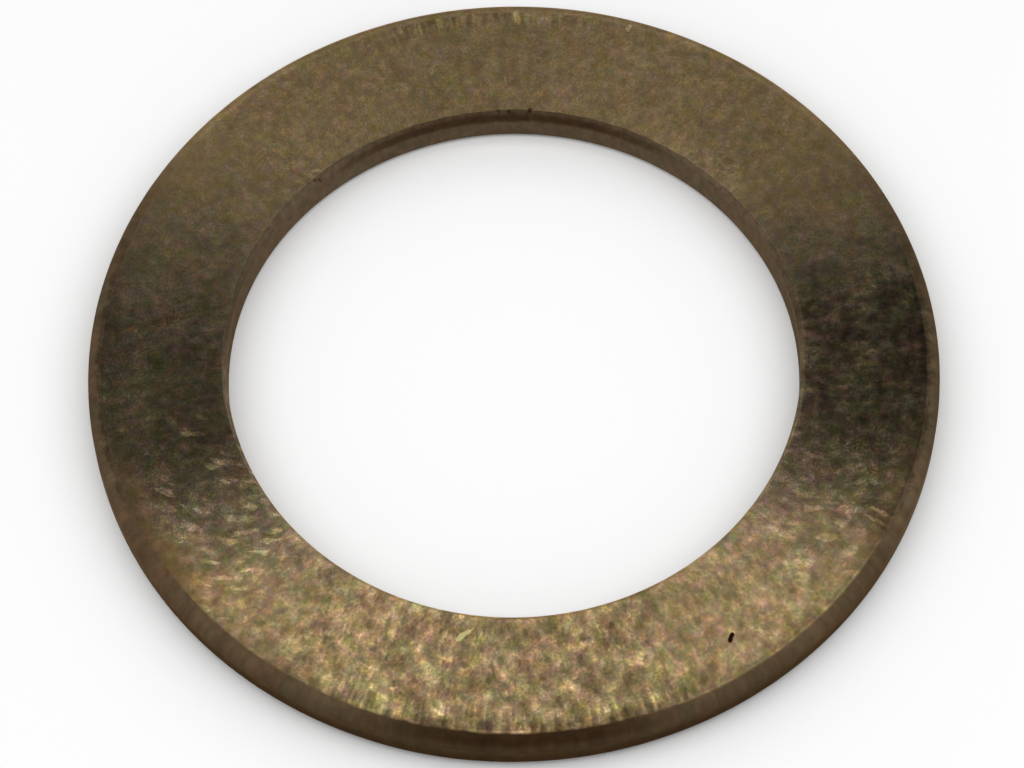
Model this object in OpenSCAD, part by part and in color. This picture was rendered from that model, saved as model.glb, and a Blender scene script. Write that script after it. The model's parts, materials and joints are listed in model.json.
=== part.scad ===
// Axle washer: a plain flat ring of bronze that takes the end thrust of a
// hub on its axle. It lies on its lower face. The origin is the centre of the
// bore on that face, and +Z runs along the bore.

/* [Bore] */
// Diameter of the axle journal that passes through the ring
journal_d = 50; // [40:0.5:56]
// Play of the ring on the journal, measured on the diameter
bore_play = 0.5; // [0.1:0.1:1]
// Leg of the 45 degree chamfer at each mouth of the bore
bore_chamfer = 0.5; // [0.2:0.1:1.2]

/* [Ring] */
// Outside diameter
outer_d = 75; // [72:0.5:110]
// Thickness from one face to the other
thickness = 4; // [3:0.25:8]
// Radius of the rounded corners at the outer rim
rim_round = 1.3; // [0.2:0.1:1.4]

/* [Open pore] */
// Distance from the outer rim to the middle of the pore in the upper face
pore_from_rim = 4.5; // [3:0.1:6]
// Direction of the pore round the ring, in degrees from +X
pore_bearing = 303; // [0:1:359]
// Turn of the pore's long axis, in degrees from +X
pore_turn = 72; // [0:1:179]
// Length of the pore from end to end
pore_length = 0.9; // [0.6:0.1:2]
// Width of the pore
pore_width = 0.4; // [0.2:0.05:0.5]
// Depth of the pore below the upper face
pore_depth = 0.4; // [0.1:0.05:0.8]

/* [Hidden] */

bore_r = (journal_d + bore_play) / 2;
outer_r = outer_d / 2;
// Facets round the ring and round a rim corner or the end of the pore
ring_facets = 180;
corner_facets = 48;
// How far a cut runs past the surface that it opens
cut_past = 0.5;

// Half of the section, in the plane of radius and height
module ring_section() {
    difference() {
        union() {
            translate([bore_r, 0])
                square([outer_r - rim_round - bore_r, thickness]);
            translate([bore_r, rim_round])
                square([outer_r - bore_r, thickness - 2 * rim_round]);
            for (height = [rim_round, thickness - rim_round])
                translate([outer_r - rim_round, height])
                    circle(r = rim_round, $fn = corner_facets);
        }
        bore_mouth(0, 1);
        bore_mouth(thickness, -1);
    }
}

// The triangle that a chamfer takes off the section at one face, where
// inward is the way from that face into the ring
module bore_mouth(face_z, inward) {
    reach = bore_chamfer + cut_past;
    polygon([
        [bore_r - cut_past, face_z - inward * cut_past],
        [bore_r + reach, face_z - inward * cut_past],
        [bore_r - cut_past, face_z + inward * reach],
    ]);
}

// An open casting pore: a small blind slot with round ends
module open_pore() {
    straight = pore_length - pore_width;
    rotate(pore_bearing)
        translate([outer_r - pore_from_rim, 0, thickness - pore_depth])
            rotate(pore_turn - pore_bearing)
                linear_extrude(pore_depth + cut_past) {
                    square([straight, pore_width], center = true);
                    for (side = [-1, 1])
                        translate([side * straight / 2, 0])
                            circle(d = pore_width, $fn = corner_facets);
                }
}

module washer() {
    color([0.43, 0.36, 0.22])
        difference() {
            rotate_extrude($fn = ring_facets)
                ring_section();
            open_pore();
        }
}

washer();
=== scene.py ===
# The look of a bronze axle washer: a worn, patinated ring that lies on a pale floor.
# Lengths are in millimetres. They become metres where a mesh, a light or the camera is made.
import json
import math

import bpy
import numpy as np
from mathutils import Matrix, Vector, noise


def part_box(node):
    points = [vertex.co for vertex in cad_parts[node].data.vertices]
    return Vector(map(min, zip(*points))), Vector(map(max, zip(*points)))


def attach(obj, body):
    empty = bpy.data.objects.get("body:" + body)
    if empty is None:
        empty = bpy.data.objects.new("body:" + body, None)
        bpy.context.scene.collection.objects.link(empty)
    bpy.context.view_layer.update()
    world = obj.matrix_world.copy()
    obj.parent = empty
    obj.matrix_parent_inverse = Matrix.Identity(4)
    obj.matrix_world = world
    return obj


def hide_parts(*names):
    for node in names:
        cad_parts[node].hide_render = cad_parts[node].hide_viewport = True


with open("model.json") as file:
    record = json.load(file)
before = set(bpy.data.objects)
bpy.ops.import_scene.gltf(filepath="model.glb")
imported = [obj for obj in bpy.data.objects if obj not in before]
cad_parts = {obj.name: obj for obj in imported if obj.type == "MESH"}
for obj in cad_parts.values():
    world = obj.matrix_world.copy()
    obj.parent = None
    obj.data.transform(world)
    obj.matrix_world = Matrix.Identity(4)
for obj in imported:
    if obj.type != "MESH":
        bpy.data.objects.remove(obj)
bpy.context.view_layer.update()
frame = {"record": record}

MM = 0.001
NODE = "washer"

# The ring's own sizes, all from the frame
low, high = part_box(NODE)
mounts = {mount["name"]: mount["dims"] for mount in frame["record"]["mounts"]}
THICKNESS = (high.z - low.z) / MM
OUTER_R = mounts["rim"]["r_mm"]
BORE_R = mounts["bore"]["r_mm"]
BORE_CHAMFER = (THICKNESS - mounts["bore"]["length_mm"]) / 2
RIM_ROUND = (THICKNESS - mounts["rim"]["length_mm"]) / 2
MIDDLE_R = (BORE_R + OUTER_R) / 2

# The upper mouth of the bore as the photograph shows it, with a chamfer a little under the nominal one
MOUTH_CHAMFER = 0.34
FACE_INNER = BORE_R + MOUTH_CHAMFER
FACE_OUTER = OUTER_R - RIM_ROUND

# The open pore in the upper face, from its place in the part's source
PORE_R = OUTER_R - 4.5
PORE_BEARING = 303
PORE_TURN = 72
PORE_LENGTH = 0.98
PORE_WIDTH = 0.32
PORE_DEPTH = 0.38
PORE_RAGGED = 0.05
PORE_WALL = 0.09

# Small dents in the upper edge of the bore: bearing in degrees, width and depth
NICKS = [(85.7, 0.42, 0.07), (90.0, 0.36, 0.06), (92.1, 0.36, 0.05), (132.0, 1.2, 0.04)]

# Worn relief of all faces, as layers of noise: length round the ring, length along the radius, and height
RELIEF = [(9.0, 7.0, 0.008), (2.4, 2.8, 0.004), (0.95, 1.2, 0.003)]
RELIEF_TOP = 0.015

# How much height counts beside radius where the ring is unrolled for its noise
UNROLLED_HEIGHT = 0.8

# Mesh steps
EDGE_WEAR = 0.12
COLUMN_STEP = 0.49
TOP_STEP = 0.225
UNDER_STEP = 0.6
WALL_STEP = 0.4
MOUTH_STEP = 0.2
CREASE = 0.04

# Dark marks on the upper edge of the bore: bearing, radius, length, width, turn from +X, and strength
STAINS = [
    (85.7, 25.69, 0.42, 0.44, 0, 0.95),
    (90.0, 25.56, 0.44, 0.38, 0, 0.6),
    (92.1, 25.6, 0.4, 0.38, 0, 0.5),
    (133.4, 25.58, 0.3, 0.32, 0, 0.7),
    (132.5, 25.38, 0.45, 0.26, 0, 0.6),
]

# Light specks and bars, which are painted glints of the metal, and darker blots of the face: bearing,
# radius, length, width, turn from +X, and gain
GLINTS_AND_BLOTS = [
    (330.8, 32.4, 1.3, 0.8, -10, 0.5),
    (333.8, 30.2, 0.7, 0.5, 0, 0.45),
    (336.2, 32.4, 1.0, 0.5, 15, 0.45),
    (321.5, 29.1, 2.0, 1.0, 0, 0.3),
    (332.9, 35.1, 2.5, 0.42, -30, 0.75),
    (331.4, 35.4, 2.6, 0.42, -31, 0.75),
    (332.3, 35.1, 3.6, 2.0, -35, -0.4),
    (329.2, 32.5, 2.4, 0.9, -20, -0.3),
    (194.3, 28.8, 2.0, 0.5, -5, 0.5),
    (200.6, 32.5, 0.9, 0.6, 0, 0.5),
    (215.8, 28.8, 2.4, 0.5, 10, 0.45),
    (278.0, 32.4, 0.7, 0.6, 70, 0.4),
    (261.0, 31.8, 4.5, 3.5, 0, -0.24),
    (88.5, 35.7, 1.6, 0.6, 95, 0.6),
    (71.9, 36.0, 0.8, 0.5, 60, 0.65),
    (106.0, 35.8, 1.1, 0.5, 115, 0.45),
    (82.8, 35.9, 0.6, 0.4, 80, 0.35),
]

# Stretches of the face painted lighter or darker, as painted highlight and painted shade that even out the
# lamps' reflection round the ring: bearing, full and fading angle on both sides of it, and gain
PAINTED_LIGHT_LEVELS = [
    (221, 7, 14, 0.17),
    (246, 6, 8, 0.1),
    (266, 3, 7, 0.05),
    (278, 3, 8, -0.1),
    (316, 5, 15, 0.25),
    (155, 24, 14, 0.1),
    (96, 6, 10, -0.1),
]

# Stretches where the grain is even, at the ends of the back part and at the right end of the front part
CALM = [(153, 5, 17, 1), (28, 5, 13, 1), (325, 3, 6, 0.5)]

# Stretches where the rim's skin reaches into the face as an even strip
SMOOTH = [(207, 7, 10, 1), (336, 6, 8, 0.6)]

# Stretches where the outer edge of the face gets painted shade, which dulls a highlight line along it
SHADED_EDGE_SIDES = [(190, 24, 8, 1), (21, 5, 8, 1), (338, 5, 8, 1)]

# Stretches where the skin's border at the rim or at the bore is shifted, with the shift as their gain
RIM_SHIFTS = [(316, 17, 14, -0.2), (232, 10, 10, 0.08), (0, 14, 12, -0.2), (180, 5, 8, -0.12)]
MOUTH_SHIFTS = [(141, 12, 14, -0.16), (0, 28, 16, -0.1)]

# Colours of the ground bronze, and of the brown skin on its rim and bore
OLIVE = (0.176, 0.158, 0.065, 1)
ROSE = (0.250, 0.143, 0.082, 1)
# The greyer tint of the face's sides is a painted reflection.
SIDE_REFLECTION_TINT = (0.88, 0.95, 1.16, 1)
WARM = (1.08, 0.96, 0.76, 1)
EVEN = (1, 1, 1, 1)
PALE = (0.50, 0.46, 0.20, 1)
RIM_SKIN = (0.098, 0.066, 0.036, 1)
BORE_SKIN = (0.113, 0.080, 0.049, 1)
# A lighter skin for the rim's sides is a painted reflection; the dark rusty brown is painted shade on the
# rim at the front and rust round the bore's mouth.
SIDE_REFLECTION_SKIN = (0.148, 0.106, 0.061, 1)
SHADE_AND_RUST = (0.037, 0.0195, 0.008, 1)
SOOT = (0.012, 0.004, 0.002, 1)
STAIN = (0.030, 0.009, 0.004, 1)
GLANCE = (0.65, 0.50, 0.36, 1)

# The camera of the photograph, in the ring's frame
CAMERA_DISTANCE = 378.2
CAMERA_ELEVATION = math.radians(61.09)
CAMERA_ROLL = math.radians(-1.17)
CAMERA_AIM = (-0.18, -0.57, 0.0)
CAMERA_LENS = 149.9
CAMERA_SENSOR = 36

# The floor, and the light panels over the ring
FLOOR_SIZE = 6000
FLOOR_COLOUR = (0.86, 0.86, 0.86, 1)
PANEL_HEIGHT = 300
PANEL_WIDTH = 840

# The light of the sky by its height, from 0 at level to 1 overhead
SKY = [(0.0, 0.75), (0.62, 0.6), (0.8, 0.03)]


def spaced(start, end, step, fine_places=()):
    """Values from start to end about one step apart. They lie closer together at each fine place, given as
    its value, its reach and how many times closer."""
    t = np.linspace(start, end, 20001)
    density = np.full_like(t, 1 / step)
    for place, reach, closer in fine_places:
        density += (closer - 1) / step * np.exp(-((t - place) / reach) ** 2)
    count = np.concatenate([[0], np.cumsum((density[1:] + density[:-1]) / 2 * np.diff(t))])
    total = max(1, round(count[-1]))
    return np.interp(np.arange(total + 1) * count[-1] / total, count, t)


def rounded_corner(before, corner, after, radius, pieces):
    """Points of the arc that rounds one corner of the section."""
    corner = np.array(corner, float)
    to_before = (np.array(before) - corner) / np.linalg.norm(np.array(before) - corner)
    to_after = (np.array(after) - corner) / np.linalg.norm(np.array(after) - corner)
    half = math.acos(np.clip(to_before @ to_after, -1, 1)) / 2
    bisector = (to_before + to_after) / np.linalg.norm(to_before + to_after)
    centre = corner + bisector * radius / math.sin(half)
    start = corner + to_before * radius / math.tan(half) - centre
    turn = -1 if start[0] * to_before[1] - start[1] * to_before[0] > 0 else 1
    points = []
    for a in turn * np.linspace(0, math.pi - 2 * half, pieces + 1):
        points.append(centre + np.array([
            start[0] * math.cos(a) - start[1] * math.sin(a),
            start[0] * math.sin(a) + start[1] * math.cos(a),
        ]))
    return points


def section():
    """The ring's section as a closed loop of (radius, height), from the bore's lower mouth up and round."""
    corners = [
        ((BORE_R + BORE_CHAMFER, 0), EDGE_WEAR, 2),
        ((BORE_R, BORE_CHAMFER), EDGE_WEAR, 2),
        ((BORE_R, THICKNESS - MOUTH_CHAMFER), EDGE_WEAR, 2),
        ((FACE_INNER, THICKNESS), EDGE_WEAR / 2, 3),
        ((OUTER_R, THICKNESS), RIM_ROUND, 9),
        ((OUTER_R, 0), RIM_ROUND, 7),
    ]
    steps = [WALL_STEP, WALL_STEP, MOUTH_STEP, TOP_STEP, WALL_STEP, UNDER_STEP]
    fine = [(), (), (), [(PORE_R, 0.5, 3.4)], (), ()]
    arcs = []
    for i, (corner, radius, pieces) in enumerate(corners):
        after = corners[(i + 1) % len(corners)][0]
        arcs.append(rounded_corner(corners[i - 1][0], corner, after, radius, pieces))
    loop = []
    for i, arc in enumerate(arcs):
        start, end = arc[-1], arcs[(i + 1) % len(arcs)][0]
        length = np.linalg.norm(end - start)
        crease = CREASE / length
        fine_places = [(place - start[0], reach, closer) for place, reach, closer in fine[i]]
        shares = spaced(0, length, steps[i], fine_places)
        shares = [crease] + [share / length for share in shares[1:-1]] + [1 - crease]
        loop += arc
        loop += [start + (end - start) * share for share in shares]
    return np.array(loop)


def bearings():
    """Angles of the mesh's columns, in radians, closer together at the pore and the dents."""
    fine = [(math.radians(PORE_BEARING), 0.016, 4.5)]
    fine += [(math.radians(bearing), 0.014, 3) for bearing, _, _ in NICKS]
    return spaced(0, 2 * math.pi, math.radians(COLUMN_STEP), fine)[:-1]


def relief(x, y, z):
    """Height of the worn surface over the true one, from noise on the unrolled ring."""
    r = math.hypot(x, y)
    height = 0.0
    for along, across, swing in RELIEF:
        place = (x / r * MIDDLE_R / along, y / r * MIDDLE_R / along, (r + UNROLLED_HEIGHT * z) / across)
        height += swing * noise.noise(Vector(place))
    return height


def pore_hollow(x, y, z):
    """Depth of the pore at a point of the upper face: a slot with round, slightly ragged sides."""
    if z < THICKNESS - 0.01:
        return 0.0
    bearing = math.radians(PORE_BEARING)
    turn = math.radians(PORE_TURN)
    dx = x - PORE_R * math.cos(bearing)
    dy = y - PORE_R * math.sin(bearing)
    u = dx * math.cos(turn) + dy * math.sin(turn)
    v = dy * math.cos(turn) - dx * math.sin(turn)
    straight = (PORE_LENGTH - PORE_WIDTH) / 2
    off = math.hypot(max(abs(u) - straight, 0), v) + PORE_RAGGED * noise.noise(Vector((x * 6, y * 6, 0)))
    wall = (PORE_WIDTH / 2 + 0.02 - off) / PORE_WALL
    return PORE_DEPTH * min(max(wall, 0), 1)


def nick_hollow(angle, r, z):
    """Depth of the dents at a point near the upper edge of the bore."""
    depth = 0.0
    below = math.hypot(r - FACE_INNER + 0.05, z - THICKNESS)
    if below > 0.8:
        return depth
    for bearing, width, deep in NICKS:
        along = (angle - math.radians(bearing)) * FACE_INNER
        ragged = 1 + 0.6 * noise.noise(Vector((along * 5, below * 5, bearing)))
        depth += deep * ragged * math.exp(-(2 * along / width) ** 2 - (below / 0.2) ** 2)
    return depth


def ring_surface():
    """The ring's points with their wear, and how deep each lies in the pore or a dent. The wear of the
    lower face stays above the floor."""
    loop = section()
    tangent = np.roll(loop, -1, 0) - np.roll(loop, 1, 0)
    normal = np.stack([-tangent[:, 1], tangent[:, 0]], 1)
    normal /= np.linalg.norm(normal, axis=1)[:, None]
    points, hollows = [], []
    for angle in bearings():
        c, s = math.cos(angle), math.sin(angle)
        for (r, z), (out, up) in zip(loop, normal):
            hollow = pore_hollow(r * c, r * s, z) + nick_hollow(angle, r, z)
            lift = relief(r * c, r * s, z) - hollow + RELIEF_TOP * min(up, 0)
            points.append(((r + out * lift) * c * MM, (r + out * lift) * s * MM, (z + up * lift) * MM))
            hollows.append(hollow)
    return points, hollows, len(loop)


def ring_mesh():
    """The whole ring as a net of quads, columns of equal loops all the way round."""
    points, hollows, rows = ring_surface()
    columns = len(points) // rows
    i = np.arange(columns)[:, None]
    j = np.arange(rows)[None, :]
    here, there = i * rows, (i + 1) % columns * rows
    after = (j + 1) % rows
    quads = np.stack([here + j, there + j, there + after, here + after], -1).reshape(-1, 4)
    mesh = bpy.data.meshes.new("bronze_ring")
    mesh.from_pydata(points, [], quads.tolist())
    mesh.attributes.new("hollow", "FLOAT", "POINT").data.foreach_set("value", hollows)
    mesh.shade_smooth()
    return mesh


class Paint:
    """A material, and short calls that add nodes to it. Each call gives the new node's output."""

    def __init__(self, name):
        self.material = bpy.data.materials.new(name)
        self.material.use_nodes = True
        self.tree = self.material.node_tree
        self.surface = self.tree.nodes["Principled BSDF"]

    def fill(self, socket, value):
        """Links an output to a socket, or sets the socket to a plain value."""
        if isinstance(value, bpy.types.NodeSocket):
            self.tree.links.new(value, socket)
        else:
            socket.default_value = value

    def node(self, kind, fills, **settings):
        made = self.tree.nodes.new(kind)
        for name, value in settings.items():
            setattr(made, name, value)
        for slot, value in fills.items():
            self.fill(made.inputs[slot], value)
        return made

    def calc(self, operation, a, b=0.0):
        return self.node("ShaderNodeMath", {0: a, 1: b}, operation=operation).outputs[0]

    def product(self, *values):
        result = values[0]
        for value in values[1:]:
            result = self.calc("MULTIPLY", result, value)
        return result

    def total(self, *values):
        result = values[0]
        for value in values[1:]:
            result = self.calc("ADD", result, value)
        return result

    def vector(self, operation, a, b):
        return self.node("ShaderNodeVectorMath", {0: a, 1: b}, operation=operation).outputs[0]

    def dot(self, a, b):
        made = self.node("ShaderNodeVectorMath", {0: a, 1: b}, operation="DOT_PRODUCT")
        return made.outputs["Value"]

    def triple(self, x, y, z):
        return self.node("ShaderNodeCombineXYZ", {0: x, 1: y, 2: z}).outputs[0]

    def ease(self, value, start, end, low=0.0, high=1.0):
        """Goes smoothly from low to high while the value goes from start to end."""
        fills = {0: value, 1: start, 2: end, 3: low, 4: high}
        return self.node("ShaderNodeMapRange", fills, interpolation_type="SMOOTHSTEP").outputs[0]

    def blend(self, share, a, b, how="MIX"):
        fills = {0: share, 6: a, 7: b}
        return self.node("ShaderNodeMix", fills, data_type="RGBA", blend_type=how).outputs[2]

    def tinted(self, a, b):
        """One colour times another, or times a factor."""
        return self.blend(1.0, a, b, "MULTIPLY")


class RingPaint(Paint):
    """Paint that knows where it is on the ring, in millimetres."""

    def __init__(self, name):
        super().__init__(name)
        place = self.node("ShaderNodeTexCoord", {}).outputs["Object"]
        scaled = self.node("ShaderNodeVectorMath", {0: place, "Scale": 1 / MM}, operation="SCALE")
        self.place = scaled.outputs[0]
        axes = self.node("ShaderNodeSeparateXYZ", {0: self.place})
        self.y = axes.outputs["Y"]
        self.z = axes.outputs["Z"]
        flat = self.vector("MULTIPLY", self.place, (1, 1, 0))
        self.radius = self.node("ShaderNodeVectorMath", {0: flat}, operation="LENGTH").outputs["Value"]
        self.outward = self.node("ShaderNodeVectorMath", {0: flat}, operation="NORMALIZE").outputs[0]
        around = self.vector("MULTIPLY", self.outward, (MIDDLE_R, MIDDLE_R, 0))
        across = self.total(self.radius, self.product(self.z, UNROLLED_HEIGHT))
        self.unrolled = self.vector("ADD", around, self.triple(0.0, 0.0, across))

    def grain_space(self, along, across, seed, twist=0.0):
        """The unrolled ring, scaled for grains of one size round the ring and another along the radius.
        Twist turns them, at 1 by 45 degrees, so that they run on round the ring as they go inward."""
        at = self.unrolled
        if twist:
            angle = self.product(self.calc("SUBTRACT", self.radius, MIDDLE_R), twist / MIDDLE_R)
            fills = {"Vector": at, "Angle": angle}
            at = self.node("ShaderNodeVectorRotate", fills, rotation_type="Z_AXIS").outputs[0]
        at = self.vector("MULTIPLY", at, (1 / along, 1 / along, 1 / across))
        return self.vector("ADD", at, (seed * 7.3, seed * 3.1, seed * 5.7))

    def grains(self, along, across, seed, detail=1.0, roughness=0.5):
        """Cloudy grains with values of about -1 to 1."""
        at = self.grain_space(along, across, seed)
        fills = {"Vector": at, "Scale": 1.0, "Detail": detail, "Roughness": roughness}
        cloud = self.node("ShaderNodeTexNoise", fills).outputs[0]
        return self.product(self.calc("SUBTRACT", cloud, 0.5), 4.0)

    def dabs(self, along, across, seed, twist=0.0):
        """Separate ragged dabs with soft edges, each with its own value from -1 to 1."""
        at = self.grain_space(along, across, seed, twist)
        fills = {"Vector": at, "Scale": 1.4, "Detail": 2.0}
        drift = self.node("ShaderNodeTexNoise", fills).outputs["Color"]
        drift = self.vector("MULTIPLY", self.vector("SUBTRACT", drift, (0.5, 0.5, 0.5)), (1.2, 1.2, 1.2))
        cell = self.node("ShaderNodeTexVoronoi", {"Vector": self.vector("ADD", at, drift), "Scale": 1.0})
        value = self.node("ShaderNodeSeparateColor", {0: cell.outputs["Color"]}).outputs[0]
        soft = self.ease(cell.outputs["Distance"], 0.8, 0.2)
        return self.product(self.calc("SUBTRACT", value, 0.5), soft, 2.0)

    def sector(self, bearing, full, fade):
        """1 within the angle full on both sides of a bearing, and 0 beyond a further angle fade."""
        a = math.radians(bearing)
        closeness = self.dot(self.outward, (math.cos(a), math.sin(a), 0))
        inner = math.cos(math.radians(full))
        outer = math.cos(math.radians(full + fade))
        return self.ease(closeness, outer, inner)

    def sectors(self, rows):
        """The sum of several sectors, each given as its bearing, full, fade and gain."""
        found = []
        for bearing, full, fade, gain in rows:
            found.append(self.product(self.sector(bearing, full, fade), gain))
        return self.total(*found)

    def spot(self, bearing, radius, length, width, turn=0.0, ragged=0.0):
        """1 in an oval round one place of the upper face and 0 outside it. Its long axis turns from +X."""
        a = math.radians(bearing)
        t = math.radians(turn)
        centre = (radius * math.cos(a), radius * math.sin(a), THICKNESS)
        offset = self.vector("SUBTRACT", self.place, centre)
        u = self.calc("DIVIDE", self.dot(offset, (math.cos(t), math.sin(t), 0)), length / 2)
        v = self.calc("DIVIDE", self.dot(offset, (-math.sin(t), math.cos(t), 0)), width / 2)
        w = self.calc("SUBTRACT", self.z, THICKNESS)
        squares = self.total(self.product(u, u), self.product(v, v), self.product(w, w), ragged)
        return self.ease(squares, 1.5, 0.5)

    def spots(self, rows, ragged):
        """The sum of several spots, each given as its bearing, radius, length, width, turn and gain."""
        found = []
        for bearing, radius, length, width, turn, gain in rows:
            found.append(self.product(self.spot(bearing, radius, length, width, turn, ragged), gain))
        return self.total(*found)


def grain_and_glint_regions(p):
    """How coarse the grains and stains are: fully at the front, half at the sides and hardly at the back.
    That strength is partly painted glints, where the lamps make the grain sparkle. The same masks place the
    painted highlight of the front and the painted reflection tint of the sides.
    """
    border = p.total(p.y, p.product(p.grains(5.0, 6.0, 1), 3.0))
    front = p.ease(border, -12, -24)
    middle = p.ease(border, 24, 8)
    return front, middle


def smooth_strip(p):
    """The even brown strip along the outer edge of the face, where the rim's skin reaches in."""
    place = p.total(p.radius, p.product(p.grains(1.6, 1.6, 30, 2.0), 0.7))
    return p.product(p.ease(place, FACE_OUTER - 2.4, FACE_OUTER - 0.3), p.sectors(SMOOTH))


def face_colour(p, front, middle, right, calm):
    """Olive to rose grains of the ground face, tinted greyer at the sides as a painted reflection."""
    hue = p.total(
        p.grains(0.9, 0.95, 2, 2.0),
        p.product(p.dabs(0.8, 1.0, 24), 0.4),
        p.product(p.grains(3.0, 2.6, 3), 0.5),
    )
    strength = p.total(
        0.26,
        p.product(middle, 0.22),
        p.product(front, -0.03),
        p.product(right, 0.12),
        p.product(calm, -0.1),
    )
    rosy = p.spot(330.7, 32.4, 2.0, 1.1, -10, p.product(p.grains(0.6, 0.6, 33), 0.5))
    bright = p.blend(p.total(0.5, p.product(hue, strength), p.product(rosy, 0.4)), OLIVE, ROSE)
    blue = p.total(1.0, p.product(p.grains(0.9, 0.9, 21, 1.0), 0.24))
    bright = p.tinted(bright, p.triple(1.0, 1.0, blue))
    side = p.calc("SUBTRACT", middle, front)
    return p.blend(side, bright, p.tinted(bright, SIDE_REFLECTION_TINT))


def face_swing(p, front, middle, right, calm):
    """Light and dark grains of the ground face, as the power of a factor near 1."""
    side = p.calc("SUBTRACT", middle, front)
    stained = p.product(front, p.sector(264, 22, 12))
    left = p.sector(177, 24, 14)
    # The grain's strength at the front and the sides is partly painted glints, where the lamps make the
    # metal sparkle; the grain itself is the bronze's own mottle.
    fine_strength = p.total(
        0.24,
        p.product(middle, 0.2),
        p.product(front, -0.03),
        p.product(right, 0.24),
        p.product(left, -0.08),
    )
    coarse_strength = p.total(
        0.1,
        p.product(middle, 0.14),
        p.product(front, 0.04),
        p.product(stained, 0.2),
        p.product(right, 0.16),
    )
    patch_strength = p.total(0.07, p.product(side, 0.08), p.product(right, 0.1))
    dab_strength = p.total(0.07, p.product(middle, 0.1), p.product(front, 0.1), p.product(stained, 0.18))
    grit_strength = p.total(0.17, p.product(stained, 0.12))
    dust_strength = p.total(0.14, p.product(middle, 0.14), p.product(front, -0.24))
    swing = p.total(
        p.product(p.grains(0.8, 0.85, 4, 2.0, 0.55), fine_strength),
        p.product(p.grains(1.7, 1.9, 5, 1.0), coarse_strength),
        p.product(p.grains(5.0, 4.5, 6, 2.0), patch_strength),
        p.product(p.dabs(0.6, 0.9, 20), dab_strength),
        p.product(p.grains(0.25, 0.25, 25, 1.0), grit_strength),
        p.product(p.grains(0.14, 0.14, 32, 0.0), dust_strength),
    )
    return p.product(swing, p.total(1.0, p.product(calm, -0.35)))


def glint_streaks(p, smooth):
    """Painted glints: short slanting light dabs where the bright front part begins at each side, on a ground
    painted darker as painted shade.
    """
    # painted glints at the left and right ends of the bright front part
    left = p.product(p.ease(p.dabs(0.85, 1.2, 18, 0.8), 0.0, 0.8), p.sector(208, 11, 12))
    left = p.product(left, p.calc("SUBTRACT", 1.0, smooth))
    right = p.product(p.ease(p.dabs(0.9, 1.5, 19, -0.5), 0.0, 0.8), p.sector(330, 7, 10))
    # painted shade: the ground round the glints is darker
    ground = p.sectors([(206, 6, 10, -0.26), (331, 5, 8, -0.06)])
    return p.total(p.product(left, 0.68), p.product(right, 0.5), ground)


def edge_and_bore_tone(p):
    """The face is darker toward its outer edge and lighter at the bore, but for the back."""
    place = p.total(p.radius, p.product(p.grains(1.0, 1.0, 26, 2.0), 0.3))
    outer = p.ease(place, FACE_OUTER - 1.5, FACE_OUTER)
    outer = p.product(outer, p.calc("SUBTRACT", 1.0, p.sector(191, 5, 13)))
    outer = p.product(outer, p.total(-0.35, p.product(p.sector(268, 6, 10), -0.42)))
    inner = p.product(p.ease(place, FACE_INNER + 1.1, FACE_INNER + 0.1), 0.15)
    left = p.product(p.ease(place, 30, 34.6), p.sector(191, 5, 8), 0.22)
    back = p.product(p.ease(place, FACE_INNER + 3.6, FACE_INNER + 0.6), p.sector(49, 6, 11), 0.28)
    return p.total(p.product(p.ease(p.y, 20, 4), p.total(outer, inner)), left, back)


def edge_marks(p):
    """Fine radial marks that run in from the outer edge of the face at three places."""
    hatch = p.grains(0.42, 3.4, 7, 1.0)
    ragged = p.total(p.radius, p.grains(1.2, 3.0, 8))
    reach = p.ease(ragged, FACE_OUTER - 3.2, FACE_OUTER - 0.8)
    reach = p.product(reach, p.ease(p.radius, FACE_OUTER + 0.1, FACE_OUTER))
    front = p.sector(268, 20, 10)
    back = p.product(p.sector(92, 11, 8), p.ease(p.radius, FACE_OUTER - 2.2, FACE_OUTER - 0.6), 0.75)
    right = p.product(p.sector(332.5, 2, 2.5), 0.25)
    return p.product(hatch, reach, p.total(front, back, right))


def edge_highlights_and_shade(p):
    """Painted highlights and painted shade along the edges of the face, as a change of its tone: a painted
    glint line at the outer edge at the front, a painted highlight on the raised lip of the chip at the bore,
    and painted shade that dulls highlight lines along the outer edge at the front and the sides.
    """
    # painted glint along the outer edge of the face at the front
    bright = p.product(p.sector(266, 3, 3), p.ease(p.radius, FACE_OUTER - 0.3, FACE_OUTER - 0.16))
    # painted highlight on the chip's raised lip
    chip_lip_highlight = p.spot(131.2, 26.03, 1.5, 0.26)
    # painted shade that dulls highlight lines along the outer edge
    front_edge_shade = p.product(p.sector(322, 15, 8), p.ease(p.radius, FACE_OUTER - 0.4, FACE_OUTER - 0.1))
    side_edge_shade = p.product(p.sectors(SHADED_EDGE_SIDES), p.ease(p.radius, FACE_OUTER - 0.15, FACE_OUTER + 0.05))
    return p.total(
        p.product(bright, 0.6),
        p.product(chip_lip_highlight, 0.5),
        p.product(front_edge_shade, -0.18),
        p.product(side_edge_shade, -0.3),
    )


def blotches(p):
    """Two large dark blotches at the right, as a factor."""
    outer = p.spot(3, 34.6, 6, 11, 0, p.product(p.grains(2.0, 2.0, 9), 0.5))
    inner = p.spot(9, 28.2, 5, 9, 0, p.product(p.grains(1.8, 1.8, 28), 0.5))
    return p.product(p.ease(outer, 0, 1, 1.0, 0.62), p.ease(inner, 0, 1, 1.0, 0.78))


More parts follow.
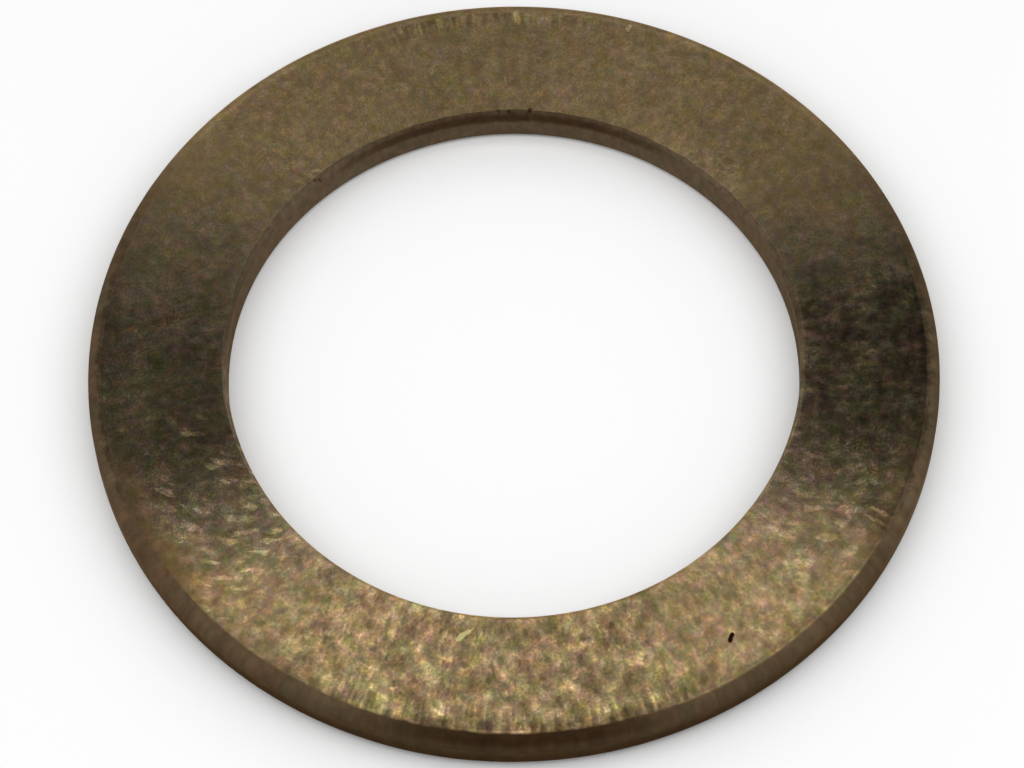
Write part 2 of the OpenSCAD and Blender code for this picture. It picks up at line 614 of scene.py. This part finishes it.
def face_tone(p, front, smooth, swing):
    """How light the ground face is, as a factor near 1. Besides the grain it carries painted light: the
    front part painted lighter as a painted highlight, stretches painted lighter and darker, painted glints
    in streaks and specks, and painted highlight and shade lines along the edges.
    """
    power = p.total(
        swing,
        # painted highlight: the front part is painted lighter
        p.product(front, 0.12),
        p.sectors(PAINTED_LIGHT_LEVELS),
        p.product(edge_marks(p), 0.65),
        glint_streaks(p, smooth),
        p.spots(GLINTS_AND_BLOTS, p.grains(0.5, 0.5, 23, 2.0)),
        edge_and_bore_tone(p),
        p.product(smooth, -0.12),
    )
    return p.product(p.calc("POWER", math.e, power), blotches(p), p.total(1.0, edge_highlights_and_shade(p)))


def pale_fleck(p):
    """The one pale fleck at the front."""
    return p.spot(260, 27.4, 1.9, 0.5, 36, p.product(p.grains(0.45, 0.45, 10, 2.0), 1.2))


def rim_share(p):
    """How thick the skin is on the rim: thin on the upper edge at the back, full at the front and below."""
    uneven = p.product(p.grains(4.0, 3.0, 16, 2.0), 3.0)
    edge = p.ease(p.total(p.y, uneven), 29, 8, 0.12, 1.0)
    wall = p.ease(p.z, THICKNESS - 0.5, THICKNESS - 1.4)
    return p.calc("MAXIMUM", edge, wall)


def mouth_share(p):
    """How thick the skin is in the bore: full at the back and below, thin on the chamfer at the front."""
    uneven = p.product(p.grains(3.0, 3.0, 17, 2.0), 2.0)
    edge = p.ease(p.total(p.y, uneven), -16, 8, 0.0, 1.0)
    wall = p.ease(p.z, THICKNESS - 0.6, THICKNESS - 1.2)
    return p.calc("MAXIMUM", edge, wall)


def skin_share(p, smooth):
    """How much of the metal the brown skin covers. It starts where the ground face ends."""
    place = p.total(p.radius, p.product(p.grains(1.2, 1.2, 11, 2.0), 0.06))
    rim = p.ease(p.total(place, p.sectors(RIM_SHIFTS)), FACE_OUTER - 0.2, FACE_OUTER + 0.14)
    rim = p.calc("MAXIMUM", rim, p.product(smooth, 0.16))
    mouth = p.ease(p.total(place, p.sectors(MOUTH_SHIFTS)), FACE_INNER + 0.16, FACE_INNER)
    mouth = p.calc("MAXIMUM", mouth, p.product(p.spot(131.9, 25.8, 1.4, 0.5), 0.85))
    return p.total(p.product(rim, rim_share(p)), p.product(mouth, mouth_share(p)))


def skin_colour(p):
    """Brown skin. On the rim at the front it is painted dark at its top and toward its bottom, as painted
    shade; round the bore's upper mouth at the back it is a dark rusty brown; and on the rim's wall at the
    sides it is painted lighter, as a painted reflection."""
    below = p.calc("SUBTRACT", THICKNESS, p.total(p.z, p.product(p.grains(1.0, 1.0, 22, 2.0), 0.12)))
    # painted shade on the rim at the front, near its top and toward its bottom
    upper = p.product(p.ease(below, 0.75, 0.2, 0.55, 1.0), p.sector(270, 1, 24))
    lower = p.product(p.ease(below, 0.0, 2.6, 0.0, 0.85), p.sector(270, 34, 42))
    # painted reflection: the rim's wall is lighter at the sides
    worn = p.product(p.ease(below, 0.0, 0.14), p.ease(below, 0.8, 0.25, 0.4, 1.0))
    worn = p.product(worn, p.sectors([(183, 12, 12, 1), (351, 9, 14, 1)]))
    mouth = p.product(p.ease(below, 1.7, 1.0, 0.0, 0.85), p.ease(below, 0.0, 0.4, 0.45, 1.0))
    mouth = p.product(mouth, p.sector(91, 14, 30))
    inner = p.ease(p.radius, MIDDLE_R + 1, MIDDLE_R - 1)
    rim = p.blend(p.calc("MAXIMUM", upper, lower), p.blend(worn, RIM_SKIN, SIDE_REFLECTION_SKIN), SHADE_AND_RUST)
    skin = p.blend(inner, rim, p.blend(mouth, BORE_SKIN, SHADE_AND_RUST))
    coarse = p.product(p.grains(0.8, 0.9, 12, 2.0), 0.24)
    fine = p.product(p.grains(0.3, 0.3, 31, 1.0), 0.1)
    tone = p.calc("POWER", math.e, p.total(coarse, fine))
    red = p.total(1.0, p.product(p.grains(1.4, 1.4, 27, 2.0), 0.12))
    return p.tinted(skin, p.triple(p.product(tone, red), tone, tone))


def over_edge(p, swing, side):
    """The grains of the face go on over the rounded edge onto the skin at the sides, as a factor."""
    top = p.product(side, p.ease(p.z, THICKNESS - 0.5, THICKNESS))
    return p.calc("POWER", math.e, p.product(swing, top, 0.6))


def edge_stains(p):
    """How dark the marks on the upper edge of the bore are."""
    ragged = p.product(p.grains(0.25, 0.25, 29, 1.0), 0.6)
    return p.calc("MINIMUM", p.spots(STAINS, ragged), 1.0)


def add_gloss(p, skin, soot):
    """Metal that shines across its turning marks, duller under the skin and dead in the hollows."""
    uneven = p.product(p.grains(1.1, 1.4, 13, 2.0), 0.02)
    looks = {
        "Anisotropic": 1.0,
        "Anisotropic Rotation": 0.25,
        "Specular Tint": GLANCE,
        "Tangent": p.node("ShaderNodeTangent", {}, direction_type="RADIAL", axis="Z").outputs[0],
        "Roughness": p.total(0.195, uneven, p.product(skin, 0.26), p.product(soot, 0.4)),
        "Metallic": p.total(0.9, p.product(soot, -0.8)),
    }
    for name, value in looks.items():
        p.fill(p.surface.inputs[name], value)


def add_bump(p):
    fine = p.product(p.grains(0.8, 0.6, 14, 2.0, 0.6), 0.0004)
    broad = p.product(p.grains(1.8, 1.4, 15), 0.0016)
    bump = p.node("ShaderNodeBump", {"Strength": 1.0, "Distance": MM, "Height": p.total(fine, broad)})
    p.fill(p.surface.inputs["Normal"], bump.outputs[0])


def bronze_material():
    """Ground bronze on the face, the brown skin over its edges, then the dark marks and hollows."""
    p = RingPaint("bronze")
    front, middle = grain_and_glint_regions(p)
    side = p.calc("SUBTRACT", middle, front)
    right = p.sector(0, 8, 9)
    smooth = smooth_strip(p)
    calm = p.total(p.sectors(CALM), smooth)
    swing = face_swing(p, front, middle, right, calm)

    face = p.tinted(face_colour(p, front, middle, right, calm), face_tone(p, front, smooth, swing))
    face = p.tinted(face, p.blend(smooth, EVEN, WARM))
    face = p.blend(p.product(pale_fleck(p), 0.85), face, PALE)

    skin = skin_share(p, smooth)
    hollow = p.node("ShaderNodeAttribute", {}, attribute_name="hollow").outputs["Fac"]
    soot = p.ease(hollow, 0.015, 0.13)
    colour = p.blend(skin, face, p.tinted(skin_colour(p), over_edge(p, swing, side)))
    colour = p.blend(edge_stains(p), colour, STAIN)
    p.fill(p.surface.inputs["Base Color"], p.blend(soot, colour, SOOT))

    add_gloss(p, skin, soot)
    add_bump(p)
    return p.material


def add_ring():
    ring = bpy.data.objects.new("bronze_ring", ring_mesh())
    bpy.context.scene.collection.objects.link(ring)
    ring.data.materials.append(bronze_material())
    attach(ring, "root")
    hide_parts(NODE)


def add_floor():
    bpy.ops.mesh.primitive_plane_add(size=FLOOR_SIZE * MM)
    floor = bpy.context.object
    floor.name = "floor"
    paint = Paint("pale_floor")
    paint.surface.inputs["Base Color"].default_value = FLOOR_COLOUR
    paint.surface.inputs["Roughness"].default_value = 0.9
    floor.data.materials.append(paint.material)


def add_camera():
    data = bpy.data.cameras.new("camera")
    data.lens = CAMERA_LENS
    data.sensor_width = CAMERA_SENSOR
    camera = bpy.data.objects.new("camera", data)
    bpy.context.scene.collection.objects.link(camera)
    place = Vector((0, -math.cos(CAMERA_ELEVATION), math.sin(CAMERA_ELEVATION))) * CAMERA_DISTANCE * MM
    look = (Vector(CAMERA_AIM) * MM - place).to_track_quat("-Z", "Y").to_matrix()
    turn = look @ Matrix.Rotation(CAMERA_ROLL, 3, "Z")
    camera.matrix_world = Matrix.Translation(place) @ turn.to_4x4()
    bpy.context.scene.camera = camera


def add_panel(name, near, far, radiance):
    """A soft level panel over the ring that reaches from near to far along Y."""
    data = bpy.data.lights.new(name, "AREA")
    data.shape = "RECTANGLE"
    data.size = PANEL_WIDTH * MM
    data.size_y = (far - near) * MM
    data.energy = radiance * math.pi * data.size * data.size_y
    light = bpy.data.objects.new(name, data)
    light.location = Vector((0, (near + far) / 2, PANEL_HEIGHT)) * MM
    bpy.context.scene.collection.objects.link(light)
    light.visible_camera = False


def add_world():
    """Pale walls all round and a dim ceiling."""
    world = bpy.data.worlds.new("studio")
    world.use_nodes = True
    tree = world.node_tree
    direction = tree.nodes.new("ShaderNodeTexCoord")
    axes = tree.nodes.new("ShaderNodeSeparateXYZ")
    ramp = tree.nodes.new("ShaderNodeValToRGB")
    stops = ramp.color_ramp.elements
    stops.remove(stops[1])
    for i, (height, light) in enumerate(SKY):
        stop = stops[0] if i == 0 else stops.new(height)
        stop.position = height
        stop.color = (light, light, light, 1)
    tree.links.new(direction.outputs["Generated"], axes.inputs[0])
    tree.links.new(axes.outputs["Z"], ramp.inputs[0])
    tree.links.new(ramp.outputs[0], tree.nodes["Background"].inputs[0])
    bpy.context.scene.world = world


add_ring()
add_floor()
add_camera()
add_panel("overhead", -200, 116, 1.8)
add_panel("back", 202, 560, 0.6)
add_world()
bpy.context.scene.view_settings.view_transform = "Standard"
